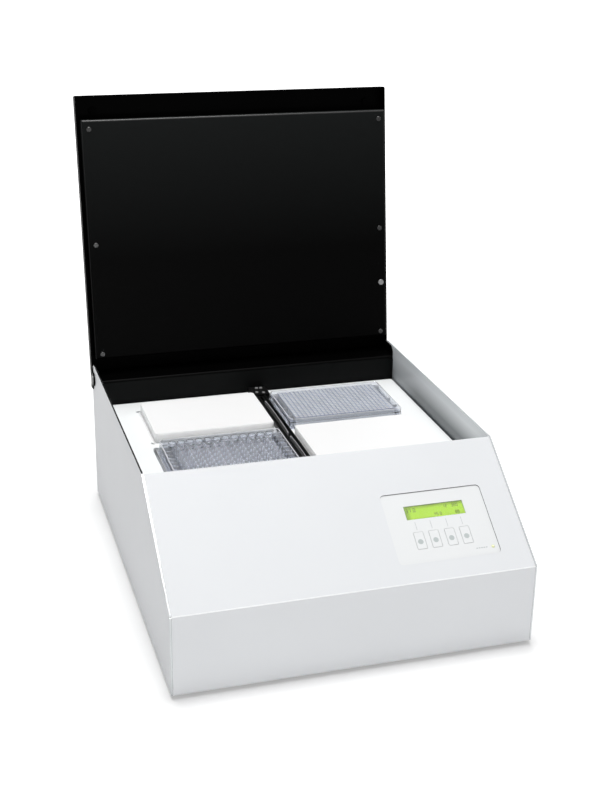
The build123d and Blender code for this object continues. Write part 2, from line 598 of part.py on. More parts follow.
deck = soft_box(deck_x, DECK_Y, (DECK_SKIRT_Z, DECK_TOP), 2.5)
deck -= box(grown(deck_x, -DECK_SKIRT_T), grown(DECK_Y, -DECK_SKIRT_T), (DECK_SKIRT_Z - 1, PLATE_Z))
for cx in COL_X:
    for cy in ROW_Y:
        hx = PLATE_L / 2 + NEST_GAP
        hy = PLATE_W / 2 + NEST_GAP
        deck -= box((cx - hx, cx + hx), (cy - hy, cy + hy), (PLATE_Z - 1, DECK_TOP + 1))
        outer = -1 if cx < 0 else 1
        for side in (-1, 1):
            spot = (cx + outer * (hx - 0.8), cy + side * (hy - 0.8))
            deck -= post(*spot, (PLATE_Z - 1, DECK_TOP + 1), RELIEF_R)
SLOT_X = (COL_X[0] - PLATE_L / 2 - SLOT_W, COL_X[0] - PLATE_L / 2)
deck -= box(SLOT_X, (ROW_Y[0] - 36, ROW_Y[0] + 38), (PLATE_Z - 1, DECK_TOP + 1))
nodes["deck_tray"] = fillet(deck.faces().sort_by(Axis.Z)[-1].outer_wire().edges(), 0.6)

rail = box(RAIL_X, RAIL_Y, (DECK_TOP, DECK_TOP + RAIL_H)) + box(*RAIL_END, (DECK_TOP, DECK_TOP + RAIL_END_H))
rail -= box(grown((RAIL_MID, RAIL_MID), RAIL_SLOT_W / 2), grown(RAIL_Y, -2), (DECK_TOP + 0.8, DECK_TOP + 20))
for rx in (RAIL_X[0], RAIL_X[1] - RAIL_RIB_W):
    rail += box((rx, rx + RAIL_RIB_W), RAIL_Y, (DECK_TOP, DECK_TOP + RAIL_RIB_H))
rail_bores = [(0.1, 17.9), (4.9, 17.3), (-2.6, 5.9), (4.4, 3.7)]
rail_screws = []
for bore_x, bore_y in rail_bores:
    bx = RAIL_MID + bore_x
    by = RAIL_END[1][0] + bore_y
    rail -= post(bx, by, (DECK_TOP - 1, DECK_TOP + 9), 1.0 + RUN_FIT)
    screw = post(bx, by, (DECK_TOP, DECK_TOP + RAIL_END_H), 1.0)
    rail_screws.append(screw + post(bx, by, (DECK_TOP + RAIL_END_H, DECK_TOP + RAIL_END_H + 0.8), 1.7))
nodes["center_rail"] = rail
nodes["rail_screws"] = group(rail_screws)


def leaf(x, y, z, bow, foot):
    """Bowed steel strip standing on edge, with a short foot at each end."""
    mid = sum(y) / 2
    line = ThreePointArc((x, y[0]), (x + bow, mid), (x, y[1]))
    strip = make_face(offset(line, amount=SPRING_T, side=Side.RIGHT).edges())
    strip = Pos(0, 0, z[0]) * extrude(strip, z[1] - z[0])
    for end in (y[0], y[1] - 2):
        strip += box(sorted((x - foot, x + SPRING_T)), (end, end + 2), z)
    return strip


SPRING_Z = (DECK_TOP + 0.8, DECK_TOP + SPRING_PROUD)
SPRING_X = RAIL_MID - SPRING_T / 2
nodes["leaf_springs"] = group([
    leaf(SPRING_X, (RAIL_Y[1] - 109, RAIL_Y[1] - 22), SPRING_Z, 0.5, 0.95),
    leaf(SPRING_X, (RAIL_Y[0] + 4, RAIL_Y[1] - 118), SPRING_Z, 0.5, 0.95),
    leaf(SLOT_X[0] + 1.6, (ROW_Y[0] - 35, ROW_Y[0] + 37), (PLATE_Z, DECK_TOP + 3.0), 0.5, 1.6)])


# ---- plates and blanking blocks ------------------------------------------------------------
def plate_blank(chamfers):
    """Skirted plate body with a raised rim, before its wells are cut. Bottom at Z = 0."""
    body = box((-PLATE_L / 2, PLATE_L / 2), (-PLATE_W / 2, PLATE_W / 2), (0, 2.6))
    top = box((-PLATE_BODY_L / 2, PLATE_BODY_L / 2), (-PLATE_BODY_W / 2, PLATE_BODY_W / 2), (2.6, PLATE_H))
    for sx, sy in chamfers:
        edge = top.edges().filter_by(Axis.Z).sort_by(lambda e: (e.center().X * sx + e.center().Y * sy))[-1]
        top = chamfer(edge, 4.5)
        edge = body.edges().filter_by(Axis.Z).sort_by(lambda e: (e.center().X * sx + e.center().Y * sy))[-1]
        body = chamfer(edge, 4.5)
    sharp = [e for e in top.edges().filter_by(Axis.Z) if abs(abs(e.center().X) - PLATE_BODY_L / 2) < 0.01
             and abs(abs(e.center().Y) - PLATE_BODY_W / 2) < 0.01]
    sharp_foot = [e for e in body.edges().filter_by(Axis.Z) if abs(abs(e.center().X) - PLATE_L / 2) < 0.01
                  and abs(abs(e.center().Y) - PLATE_W / 2) < 0.01]
    return fillet(sharp_foot, PLATE_CORNER_R) + fillet(sharp, PLATE_CORNER_R)


def make_plate(rows, columns, pitch, well, depth, sides, chamfers):
    """Clear plate: a rim, a gutter inside it and a block of wells; open underside."""
    plate = plate_blank(chamfers)
    half_x = columns * pitch / 2 + 0.7
    half_y = rows * pitch / 2 + 0.7
    lip_x = PLATE_BODY_L / 2 - 1.4
    lip_y = PLATE_BODY_W / 2 - 1.4
    gutter = soft_box((-lip_x, lip_x), (-lip_y, lip_y), (PLATE_H - 3.0, PLATE_H + 1), 6.0)
    gutter -= box((-half_x, half_x), (-half_y, half_y), (0, PLATE_H + 2))
    plate -= gutter
    plate -= box((-half_x, half_x), (-half_y, half_y), (PLATE_H - 0.6, PLATE_H + 1))
    shape = Rectangle(well, well) if sides == 4 else RegularPolygon(well / 2, sides)
    hole = extrude(shape, depth)
    plate -= [p * Pos(0, 0, PLATE_H - depth) * hole for p in GridLocations(pitch, pitch, columns, rows)]
    hollow_x = PLATE_L / 2 - 1.5
    hollow_y = PLATE_W / 2 - 1.5
    return plate - box((-hollow_x, hollow_x), (-hollow_y, hollow_y), (-1, 1.2))


def make_blank():
    """White block of plate height; its foot fills the nest."""
    foot_h = PLATE_H - PLATE_PROUD - 0.4
    foot = soft_box((-PLATE_L / 2, PLATE_L / 2), (-PLATE_W / 2, PLATE_W / 2), (0, foot_h), 3.0)
    block = soft_box((-PLATE_BODY_L / 2, PLATE_BODY_L / 2), (-PLATE_W / 2, PLATE_W / 2), (0, PLATE_H), 3.0)
    block = fillet(block.faces().sort_by(Axis.Z)[-1].edges(), 0.6)
    return foot + block


plate_96 = make_plate(8, 12, 9.0, 6.8, 11.0, 12, [(-1, 1), (-1, -1)])
plate_384 = make_plate(16, 24, 4.5, 3.65, 11.5, 4, [])
nodes["microplate_96"] = Pos(COL_X[0], ROW_Y[0], PLATE_Z) * plate_96
nodes["microplate_384"] = Pos(COL_X[1], ROW_Y[1], PLATE_Z) * plate_384
nodes["rear_left_blank"] = Pos(COL_X[0], ROW_Y[1], PLATE_Z) * make_blank()
nodes["front_right_blank"] = Pos(COL_X[1], ROW_Y[0], PLATE_Z) * make_blank()


# ---- lid, drawn shut: a runs forward from the pivot, b up from it ----------------------------
def lid_box(x, a, b):
    """Box of the lid between two values of x, a and b."""
    return box(x, (PIVOT_Y - a[1], PIVOT_Y - a[0]), (PIVOT_Z + b[0], PIVOT_Z + b[1]))


def lid_post(x, a, b, radius):
    return post(x, PIVOT_Y - a, (PIVOT_Z + b[0], PIVOT_Z + b[1]), radius)


IN_B = LID_TOP - LID_SHEET
OUT_X = (-LID_HALF_W, LID_HALF_W)
IN_X = (-LID_HALF_W + LID_SHEET, LID_HALF_W - LID_SHEET)
shell = lid_box(OUT_X, (LID_REAR, LID_FRONT), (LID_LIP, LID_TOP))
shell = fillet(shell.faces().sort_by(Axis.Z)[-1].edges().filter_by(Axis.Y), LID_EDGE_R)
front_edge = shell.faces().sort_by(Axis.Y)[0].edges().sort_by(Axis.Z)[-1]
shell = fillet(front_edge, LID_EDGE_R)
shell -= lid_box(IN_X, (LID_REAR - 9, LID_FRONT - LID_SHEET), (LID_LIP - 9, IN_B))
ear_top = LID_LIP + EAR_RISE
ear = rod_x((IN_X[1], LID_HALF_W), PIVOT_Y, PIVOT_Z, EAR_R)
ear += lid_box((IN_X[1], LID_HALF_W), (-EAR_R, EAR_R), (0, ear_top))
bore = rod_x((IN_X[1] - 1, LID_HALF_W + 1), PIVOT_Y, PIVOT_Z, BOLT_SHOULDER_R + RUN_FIT)
for part in mirrored(ear):
    shell += part
for part in mirrored(bore):
    shell -= part

panel = lid_box((-PANEL_HALF_W, PANEL_HALF_W), (PANEL_REAR, PANEL_FRONT), (PANEL_LOW, IN_B))
panel = fillet(panel.faces().sort_by(Axis.Z)[0].edges(), LID_EDGE_R)
panel -= lid_box((-PANEL_HALF_W + LID_SHEET, PANEL_HALF_W - LID_SHEET),
                 (PANEL_REAR + LID_SHEET, PANEL_FRONT - LID_SHEET), (PANEL_LOW + LID_SHEET, IN_B + 9))
spacers = []
panel_screws = []
for px in (-PANEL_SCREW_X, PANEL_SCREW_X):
    for pa in PANEL_SCREW_A:
        panel -= lid_post(px, pa, (PANEL_LOW - 1, PANEL_LOW + 3), 1.55)
        spacer = hex_post(px, PIVOT_Y - pa, (PIVOT_Z + PANEL_LOW + LID_SHEET, PIVOT_Z + IN_B), 3.2)
        spacers.append(spacer - lid_post(px, pa, (PANEL_LOW, PANEL_LOW + 9), 1.55))
        head = lid_post(px, pa, (PANEL_LOW - 1.1, PANEL_LOW), 2.6)
        head = chamfer(head.faces().sort_by(Axis.Z)[0].edges(), 0.5)
        head += lid_post(px, pa, (PANEL_LOW, PANEL_LOW + 8), 1.5)
        slot = lid_box((px - 0.35, px + 0.35), (pa - 2, pa + 2), (PANEL_LOW - 2, PANEL_LOW - 0.6))
        panel_screws.append(head - slot)
panel -= lid_post(PROBE_X, PROBE_A, (PANEL_LOW - 1, PANEL_LOW + 3), 2.05)
probe = lid_post(PROBE_X, PROBE_A, (PANEL_LOW - 1.0, PANEL_LOW), 3.2)
probe = chamfer(probe.faces().sort_by(Axis.Z)[0].edges(), 0.5)
probe += lid_post(PROBE_X, PROBE_A, (PANEL_LOW, 4.0), 2.0)
core_x = grown((-PANEL_HALF_W, PANEL_HALF_W), -LID_SHEET - CORE_INSET)
core_a = grown((PANEL_REAR, PANEL_FRONT), -LID_SHEET - CORE_END_GAP)
buffer_x = LID_HALF_W - BUFFER_INSET
buffer = lid_post(buffer_x, BUFFER_A, (IN_B - BUFFER_T, IN_B), BUFFER_R)
b0 = PANEL_LOW + LID_SHEET
lid_parts = {
    "lid_shell": shell,
    "lid_panel": panel,
    "lid_heater_plate": lid_box(core_x, core_a, (b0, b0 + 3.0)),
    "lid_heater_mat": lid_box(grown(core_x, -5), grown(core_a, -6), (b0 + 3.0, b0 + 4.2)),
    "lid_insulation": lid_box(core_x, core_a, (b0 + 4.2, b0 + 18.0)),
    "lid_spacers": group(spacers),
    "panel_screws": group(panel_screws),
    "lid_probe": probe,
    "lid_buffers": group(mirrored(buffer)),
}
for name, shape in lid_parts.items():
    nodes[name] = shape.rotate(Axis((0, PIVOT_Y, PIVOT_Z), (1, 0, 0)), -LID_OPEN)

head_x = (LID_HALF_W + 0.2, LID_HALF_W + 0.2 + BOLT_HEAD_T)
bolt = rod_x(head_x, PIVOT_Y, PIVOT_Z, BOLT_HEAD_R)
bolt = chamfer(bolt.faces().sort_by(Axis.X)[-1].edges(), 0.7)
bolt += rod_x((HALF, head_x[0]), PIVOT_Y, PIVOT_Z, BOLT_SHOULDER_R)
bolt += rod_x((INNER - 6, HALF), PIVOT_Y, PIVOT_Z, BOLT_R)
nut_x = INNER - SEAM - CHEEK_T
nut = Pos(nut_x - NUT_T, PIVOT_Y, PIVOT_Z) * Rot(0, 90, 0) * Rot(0, 0, 30) * extrude(
    RegularPolygon(NUT_AF / 2, 6, major_radius=False), NUT_T)
nodes["hinge_bolts"] = group(mirrored(bolt + nut))

stop_x = INNER - STOP_INSET
stop = box((stop_x - 6, stop_x + 6), (CASE_D, CASE_D + STOP_T), (REAR_PANEL_H - 18, REAR_PANEL_H - 7))
nodes["lid_stops"] = group(mirrored(stop))

# ---- save ----------------------------------------------------------------------------------
low = min(shape.bounding_box().min.Y for shape in nodes.values())
high = max(shape.bounding_box().max.Y for shape in nodes.values())
to_origin = Pos(0, -(low + high) / 2, FOOT_H)
os.makedirs("parts", exist_ok=True)
for name, shape in nodes.items():
    shape = to_origin * shape
    shape.label = name
    export_step(shape, f"parts/{name}.step")
print(len(nodes), "nodes; front face at Y =", round(-(low + high) / 2, 4), "; pivot Z =", PIVOT_Z + FOOT_H)
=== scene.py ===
"""Dressed model of the microplate incubator: materials, finer pieces, studio and camera."""
import json
import math

import bmesh
import bpy
from mathutils import Matrix, Vector


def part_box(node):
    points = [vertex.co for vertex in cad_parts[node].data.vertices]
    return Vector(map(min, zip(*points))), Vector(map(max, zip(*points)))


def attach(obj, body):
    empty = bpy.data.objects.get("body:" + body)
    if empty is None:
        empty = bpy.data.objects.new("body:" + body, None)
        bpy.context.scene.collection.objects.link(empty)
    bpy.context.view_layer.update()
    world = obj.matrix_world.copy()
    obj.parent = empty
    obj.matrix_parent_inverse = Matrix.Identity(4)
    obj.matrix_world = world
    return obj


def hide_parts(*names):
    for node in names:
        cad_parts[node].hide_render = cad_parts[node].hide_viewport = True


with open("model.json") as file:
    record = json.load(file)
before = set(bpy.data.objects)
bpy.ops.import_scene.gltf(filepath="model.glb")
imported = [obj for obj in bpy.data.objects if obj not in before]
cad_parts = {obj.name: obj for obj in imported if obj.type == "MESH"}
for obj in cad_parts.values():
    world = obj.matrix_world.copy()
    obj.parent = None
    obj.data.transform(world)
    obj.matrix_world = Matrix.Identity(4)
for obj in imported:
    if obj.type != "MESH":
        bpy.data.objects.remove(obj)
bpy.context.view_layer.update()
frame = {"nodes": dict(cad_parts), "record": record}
NODES = frame["nodes"]

# Sizes are in millimetres, and a point that Blender gets is in metres.
MM = 0.001
MICRON = 0.000001
CASE_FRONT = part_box("front_panel")[0].y
CASE_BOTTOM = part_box("base_pan")[0].z


def at(x, y, z):
    """Point in metres from millimetres in the case's own coordinates (front face, lower edge)."""
    return Vector((0.0, CASE_FRONT, CASE_BOTTOM)) + Vector((x, y, z)) * MM


def grey(level):
    """Neutral colour."""
    return (level, level, level)


# ---- material nodes --------------------------------------------------------------------------
def new_material(name):
    """Node material with its shader, and coordinates that at rest are the frame's own, in metres."""
    mat = bpy.data.materials.new(name)
    mat.use_nodes = True
    tree = mat.node_tree
    bsdf = tree.nodes["Principled BSDF"]
    coords = tree.nodes.new("ShaderNodeTexCoord")
    return mat, tree, bsdf, coords.outputs["Object"]


def noise(tree, coords, scale, detail=3.0, rough=0.5, stretch=None):
    """Noise in object space; scale counts features per metre."""
    node = tree.nodes.new("ShaderNodeTexNoise")
    node.inputs["Scale"].default_value = scale
    node.inputs["Detail"].default_value = detail
    node.inputs["Roughness"].default_value = rough
    if stretch:
        mapping = tree.nodes.new("ShaderNodeMapping")
        mapping.inputs["Scale"].default_value = stretch
        tree.links.new(coords, mapping.inputs["Vector"])
        coords = mapping.outputs["Vector"]
    tree.links.new(coords, node.inputs["Vector"])
    return node.outputs["Fac"]


def remap(tree, value, low, high, from_low=0.3, from_high=0.7):
    """Takes a value from one range to another; noise mostly lies between 0.3 and 0.7."""
    node = tree.nodes.new("ShaderNodeMapRange")
    node.inputs["From Min"].default_value = from_low
    node.inputs["From Max"].default_value = from_high
    node.inputs["To Min"].default_value = low
    node.inputs["To Max"].default_value = high
    tree.links.new(value, node.inputs["Value"])
    return node.outputs["Result"]


def gradient(tree, coords, axis, start, end):
    """From 0 at start to 1 at end along one axis, both in metres."""
    parts = tree.nodes.new("ShaderNodeSeparateXYZ")
    tree.links.new(coords, parts.inputs[0])
    return remap(tree, parts.outputs[axis], 0.0, 1.0, start, end)


def mix_colour(tree, fac, a, b):
    """Colour a where fac is 0 and b where it is 1; each is a colour or another node's output."""
    node = tree.nodes.new("ShaderNodeMix")
    node.data_type = "RGBA"
    tree.links.new(fac, node.inputs["Factor"])
    for socket, value in ((node.inputs["A"], a), (node.inputs["B"], b)):
        if isinstance(value, tuple):
            socket.default_value = (*value, 1.0)
        else:
            tree.links.new(value, socket)
    return node.outputs["Result"]


def bump(tree, height, strength, distance):
    """Bump that stands as high as distance, in metres, where height is 1."""
    node = tree.nodes.new("ShaderNodeBump")
    node.inputs["Strength"].default_value = strength
    node.inputs["Distance"].default_value = distance
    tree.links.new(height, node.inputs["Height"])
    return node.outputs["Normal"]


def add_grain(tree, bsdf, coords, scale, rough, depth, strength, detail=3.0, harsh=0.5, stretch=None):
    """Fine grain in roughness and bump; depth is in micrometres, harsh is the noise's own roughness."""
    fine = noise(tree, coords, scale, detail, harsh, stretch)
    tree.links.new(remap(tree, fine, *rough), bsdf.inputs["Roughness"])
    tree.links.new(bump(tree, fine, strength, depth * MICRON), bsdf.inputs["Normal"])


# ---- materials -------------------------------------------------------------------------------
# Counts are per metre and depths in micrometres.
TONE_PATCHES = 14.0
FLOW_MARKS, FLOW_DEPTH = 60.0, 100
CLEAR_GRAIN = 500.0
CLEAR_TINT = 0.97
CLEAR_SPREAD = 0.3
CLEAR_IOR = 1.49
DISPLAY_LIT = ((0.47, 0.76, 0.015), (0.53, 0.84, 0.02))
# Painted shadow of the bezel, for the display's left end and under its upper edge.
DISPLAY_LEFT_SHADOW, DISPLAY_TOP_SHADOW = (0.20, 0.33, 0.012), (0.26, 0.42, 0.012)
# Black of the lid panel and the grey of the painted sheen towards its free edge.
PANEL_SHEEN_TONES = (grey(0.0006), (0.0105, 0.0115, 0.0115))
# Painted shade of the chamber wall: darkest low down at the front, less so at the rear, and its lit tone higher
# up.
WALL_SHADED_FRONT, WALL_SHADED_REAR, WALL_LIT_TOP = (0.15, 0.165, 0.175), (0.40, 0.42, 0.44), (0.84, 0.87, 0.89)
# Start and end of each painted change of light: the display's painted bezel shadow from the window's left and
# upper edge, the lid panel's painted sheen from its hinged and free edge, and the chamber wall's painted shade
# from the deck's upper and rear edge.
DISPLAY_SHADE_X, DISPLAY_SHADE_Z = (-0.4, 5.6), (-2.93, -0.93)
PANEL_SHEEN_SPAN = (107.6, 11.7)
WALL_SHADE_Z, WALL_SHADE_Y = (10, 29), (-75.3, -15.3)


def surface(name, colour, tint, rough, grain, depth=20, metal=0.0, specular=0.5, stretch=None):
    """General finish: two close tones in slow patches, and a fine grain.

    rough is the range of roughness, grain counts grains per metre and depth is theirs in micrometres.
    stretch draws the grain out along an axis, as on brushed or rolled metal.
    """
    mat, tree, bsdf, coords = new_material(name)
    patches = noise(tree, coords, TONE_PATCHES, 2.0)
    tone = mix_colour(tree, remap(tree, patches, 0.0, 1.0), colour, tint)
    tree.links.new(tone, bsdf.inputs["Base Color"])
    add_grain(tree, bsdf, coords, grain, rough, depth, 0.35, harsh=0.6, stretch=stretch)
    bsdf.inputs["Metallic"].default_value = metal
    bsdf.inputs["Specular IOR Level"].default_value = specular
    return mat


def clear(name, colour, rough, transmission=1.0):
    """Clear moulded plastic with faint flow marks; the lower its transmission, the milkier it is."""
    mat, tree, bsdf, coords = new_material(name)
    flow = noise(tree, coords, FLOW_MARKS, 2.0)
    fine = noise(tree, coords, CLEAR_GRAIN, 2.0)
    tint = tuple(CLEAR_TINT * c for c in colour)
    low, high = rough * (1 - CLEAR_SPREAD), rough * (1 + CLEAR_SPREAD)
    tree.links.new(mix_colour(tree, remap(tree, flow, 0.0, 1.0), colour, tint), bsdf.inputs["Base Color"])
    tree.links.new(remap(tree, fine, low, high), bsdf.inputs["Roughness"])
    tree.links.new(bump(tree, flow, 0.1, FLOW_DEPTH * MICRON), bsdf.inputs["Normal"])
    bsdf.inputs["Transmission Weight"].default_value = transmission
    bsdf.inputs["IOR"].default_value = CLEAR_IOR
    return mat


def display_material():
    """Yellow green liquid crystal face, with painted bezel shadow along its left end and under its upper edge.
    """
    mat, tree, bsdf, coords = new_material("display_green")
    low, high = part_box("display_window")
    patches = noise(tree, coords, 30.0, 2.0)
    lit = mix_colour(tree, remap(tree, patches, 0.0, 1.0), *DISPLAY_LIT)
    bezel_shadow_from_left = gradient(tree, coords, "X", *(low.x + edge * MM for edge in DISPLAY_SHADE_X))
    painted_light_by_height = gradient(tree, coords, "Z", *(high.z + edge * MM for edge in DISPLAY_SHADE_Z))
    tone = mix_colour(tree, bezel_shadow_from_left, DISPLAY_LEFT_SHADOW, lit)
    tone = mix_colour(tree, painted_light_by_height, tone, DISPLAY_TOP_SHADOW)
    tree.links.new(tone, bsdf.inputs["Base Color"])
    add_grain(tree, bsdf, coords, 2500.0, (0.3, 0.4), 10, 0.2, detail=2.0)
    return mat


def panel_material():
    """Black sheet under the lid, with a painted sheen that greys it towards its free edge, which stands highest
    when open.
    """
    mat, tree, bsdf, coords = new_material("panel_black_sheen")
    low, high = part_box("lid_panel")
    painted_light_by_height = gradient(tree, coords, "Z", low.z + PANEL_SHEEN_SPAN[0] * MM, high.z + PANEL_SHEEN_SPAN[1] * MM)
    tree.links.new(mix_colour(tree, painted_light_by_height, *PANEL_SHEEN_TONES), bsdf.inputs["Base Color"])
    add_grain(tree, bsdf, coords, 1300.0, (0.36, 0.5), 20, 0.35, harsh=0.6)
    bsdf.inputs["Specular IOR Level"].default_value = 0.02
    return mat


def inner_wall_material():
    """Sheet inside the chamber, with painted shade: darker low down, and darker towards the front than the
    rear.
    """
    mat, tree, bsdf, coords = new_material("inner_wall_shaded")
    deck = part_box("deck_tray")[1]
    painted_light_by_height = gradient(tree, coords, "Z", *(deck.z + edge * MM for edge in WALL_SHADE_Z))
    painted_shade_along_y = gradient(tree, coords, "Y", *(deck.y + edge * MM for edge in WALL_SHADE_Y))
    painted_low_shade = mix_colour(tree, painted_shade_along_y, WALL_SHADED_FRONT, WALL_SHADED_REAR)
    tree.links.new(mix_colour(tree, painted_light_by_height, painted_low_shade, WALL_LIT_TOP), bsdf.inputs["Base Color"])
    add_grain(tree, bsdf, coords, 900.0, (0.3, 0.4), 20, 0.3)
    return mat


def block_side_material():
    """Thick white plastic, in which light spreads, for the upright faces of the blanking blocks; painted
    lighter than the blocks' tops, as painted light on these faces.
    """
    mat = surface("white_side_lit", grey(0.998), grey(0.994), (0.4, 0.55), 700)
    bsdf = mat.node_tree.nodes["Principled BSDF"]
    bsdf.inputs["Subsurface Weight"].default_value = 1.0
    bsdf.inputs["Subsurface Radius"].default_value = (1.0, 1.0, 1.0)
    bsdf.inputs["Subsurface Scale"].default_value = 35 * MM
    return mat


ALONG_X, ALONG_Y = (0.05, 1, 1), (1, 0.05, 1)
FILM_TONES = ((0.742, 0.755, 0.762), (0.732, 0.745, 0.752))

MATERIAL = {
    # Case, cover and lid
    "case": surface("case_paint", (0.72, 0.734, 0.752), (0.71, 0.724, 0.742), (0.38, 0.5), 1100, 25,
                    specular=0.2),
    # Painted highlight along the front sheet's bend.
    "bend": surface("case_bend_highlight", (0.93, 0.94, 0.95), (0.9, 0.91, 0.92), (0.25, 0.35), 1100, 10),
    "cut_edge": surface("cut_edge", (0.62, 0.64, 0.65), (0.5, 0.52, 0.53), (0.16, 0.26), 900, 10,
                        metal=1.0, stretch=(1, 0.1, 0.1)),
    "inner_wall_shaded": inner_wall_material(),
    # Painted shade on the upper and right walls of the recess round the overlay.
    "step": surface("recess_step_shade", (0.03, 0.03, 0.032), (0.04, 0.04, 0.042), (0.4, 0.5), 900, 10,
                    specular=0.1),
    "black": surface("black_paint", grey(0.0005), grey(0.0008), (0.32, 0.44), 1300, specular=0.01),
    "panel": panel_material(),
    # Painted highlight on the bends of the lid panel.
    "black_edge_highlight": surface("black_edge_highlight", grey(0.012), grey(0.02), (0.25, 0.38), 1300, 10, specular=0.3),
    # Painted highlight along the fold of the rear cover.
    "fold": surface("cover_fold_highlight", grey(0.001), grey(0.002), (0.35, 0.45), 1300, 10, specular=0.03),
    # Painted reflection of the deck on the front wall of the rear cover.
    "cover_wall_reflection": surface("cover_wall_reflection", (0.008, 0.0085, 0.0085), (0.006, 0.0065, 0.0065), (0.4, 0.5), 1300,
                          specular=0.05),
    "dark_screw": surface("dark_screw", grey(0.018), grey(0.028), (0.2, 0.35), 900, 10, specular=0.3),
    "dark_rubber": surface("dark_rubber", grey(0.001), grey(0.002), (0.7, 0.9), 800, 30, specular=0.01),
    "probe": surface("probe_steel", grey(0.21), grey(0.17), (0.4, 0.5), 900, 10, metal=0.7),
    "rubber": surface("rubber_black", grey(0.018), grey(0.03), (0.7, 0.9), 800, 40),
    # Control face
    "film": surface("overlay_film", *FILM_TONES, (0.3, 0.38), 2600, 10),
    "key": surface("key_film", *FILM_TONES, (0.3, 0.38), 2600, 10),
    "led": surface("led_lens", (0.92, 0.94, 0.58), (0.88, 0.92, 0.52), (0.12, 0.2), 500, 5),
    "window": clear("window_clear", (0.97, 0.99, 0.96), 0.03),
    "display": display_material(),
    "figures": surface("figures", (0.10, 0.20, 0.01), (0.08, 0.17, 0.01), (0.4, 0.5), 900, 4),
    "print": surface("face_print", (0.47, 0.49, 0.50), (0.41, 0.43, 0.44), (0.4, 0.5), 900, 4),
    "dot": surface("key_dot", (0.46, 0.50, 0.50), (0.42, 0.46, 0.46), (0.3, 0.4), 900, 4),
    # Chamber
    "deck": surface("deck_white", (0.875, 0.892, 0.892), (0.865, 0.882, 0.882), (0.35, 0.48), 900,
                    specular=0.15),
    "nest_floor": surface("nest_floor", (0.76, 0.775, 0.815), (0.70, 0.715, 0.755), (0.3, 0.45), 500, 10,
                          specular=0.1, stretch=ALONG_X),
    "white": surface("white_plastic", grey(0.86), grey(0.85), (0.4, 0.55), 700, specular=0.15),
    "white_side_lit": block_side_material(),
    "rail": surface("rail_black", grey(0.003), grey(0.005), (0.3, 0.45), 900, specular=0.15),
    "strip": surface("strip_steel", (0.62, 0.62, 0.63), (0.5, 0.5, 0.52), (0.2, 0.35), 500, 8,
                     metal=0.25, stretch=ALONG_Y),
    "screw_head": surface("screw_head", grey(0.5), grey(0.4), (0.25, 0.4), 900, 10, metal=0.4),
    # Clear plates; the fine ones are for the plate with 384 wells, milkier, with the wells painted lighter
    # against their shade and the web painted darker as shade between them.
    "clear": clear("clear_plastic", (0.92, 0.94, 0.985), 0.07),
    "well": clear("well_wall", (0.98, 0.985, 1.0), 0.04),
    "well_rim": clear("well_rim", (0.88, 0.90, 0.97), 0.08),
    "well_web": clear("well_web", (0.90, 0.92, 0.975), 0.08),
    "fine_well_painted_light": clear("fine_well_wall", (0.96, 0.975, 1.0), 0.25, 0.05),
    "fine_rim": clear("fine_well_rim", (0.70, 0.74, 0.90), 0.2, 0.2),
    "fine_web_painted_shade": clear("fine_well_web", (0.50, 0.52, 0.60), 0.2, 0.3),
    "fine_skirt": clear("fine_skirt", (0.98, 0.99, 1.0), 0.2, 0.05),
    # Milkier white on the plates' rims and ribs, as a painted highlight.
    "moulded_rim_highlight": clear("moulded_rim_highlight", (0.95, 0.96, 1.0), 0.15, 0.45),
    # Inner parts and the back
    "zinc": surface("zinc_steel", (0.58, 0.58, 0.57), grey(0.50), (0.25, 0.4), 600, 10, metal=1.0),
    "spring": surface("spring_steel", (0.66, 0.66, 0.67), (0.55, 0.55, 0.56), (0.16, 0.3), 500, 8,
                      metal=1.0, stretch=ALONG_Y),
    "aluminium": surface("aluminium_plate", (0.70, 0.71, 0.72), (0.62, 0.63, 0.64), (0.28, 0.42), 500, 10,
                         metal=1.0, stretch=ALONG_X),
    "bronze": surface("bronze", (0.52, 0.33, 0.14), (0.42, 0.26, 0.11), (0.3, 0.45), 500, 10, metal=1.0),
    "motor": surface("motor_black", (0.03, 0.03, 0.035), (0.045, 0.045, 0.05), (0.35, 0.5), 800),
    "plastic": surface("black_plastic", (0.012, 0.012, 0.013), (0.02, 0.02, 0.021), (0.35, 0.55), 900, 30),
    "board": surface("circuit_board", (0.03, 0.16, 0.07), (0.02, 0.12, 0.05), (0.3, 0.45), 700),
    "silicone": surface("silicone_mat", (0.42, 0.09, 0.03), (0.35, 0.07, 0.02), (0.5, 0.7), 600, 50),
    "foam": surface("foam_grey", (0.06, 0.06, 0.065), (0.09, 0.09, 0.095), (0.85, 0.95), 1500, 200),
    "tan": surface("board_tan", (0.55, 0.46, 0.30), (0.48, 0.40, 0.26), (0.6, 0.8), 400, 100),
}

# ---- finish of each CAD node -----------------------------------------------------------------
SLOT_FINISH = {
    "case_paint": "case", "black_paint": "black", "overlay_film": "film", "window_clear": "window",
    "display_green": "display", "key_grey": "key", "led_lens": "led", "circuit_board": "board",
    "zinc_steel": "zinc", "spring_steel": "spring", "aluminium_plate": "aluminium", "rubber_black": "rubber",
    "deck_white": "deck", "clear_plastic": "clear", "white_plastic": "white", "silicone_mat": "silicone",
    "foam_grey": "foam", "board_tan": "tan", "black_plastic": "plastic", "bronze": "bronze",
    "motor_black": "motor",
}
OWN_FINISH = {
    "panel_screws": "dark_screw", "rail_screws": "screw_head", "lid_buffers": "dark_rubber",
    "lid_panel": "panel", "heater_plate": "nest_floor", "lid_probe": "probe", "center_rail": "rail",
    "leaf_springs": "strip", "hinge_bolts": "probe",
}


def second_finish(node, key, chosen):
    """Gives a node's faces a further finish where chosen(normal, middle) says so."""
    mesh = NODES[node].data
    mesh.materials.append(MATERIAL[key])
    index = len(mesh.materials) - 1
    for face in mesh.polygons:
        if chosen(face.normal, face.center):
            face.material_index = index


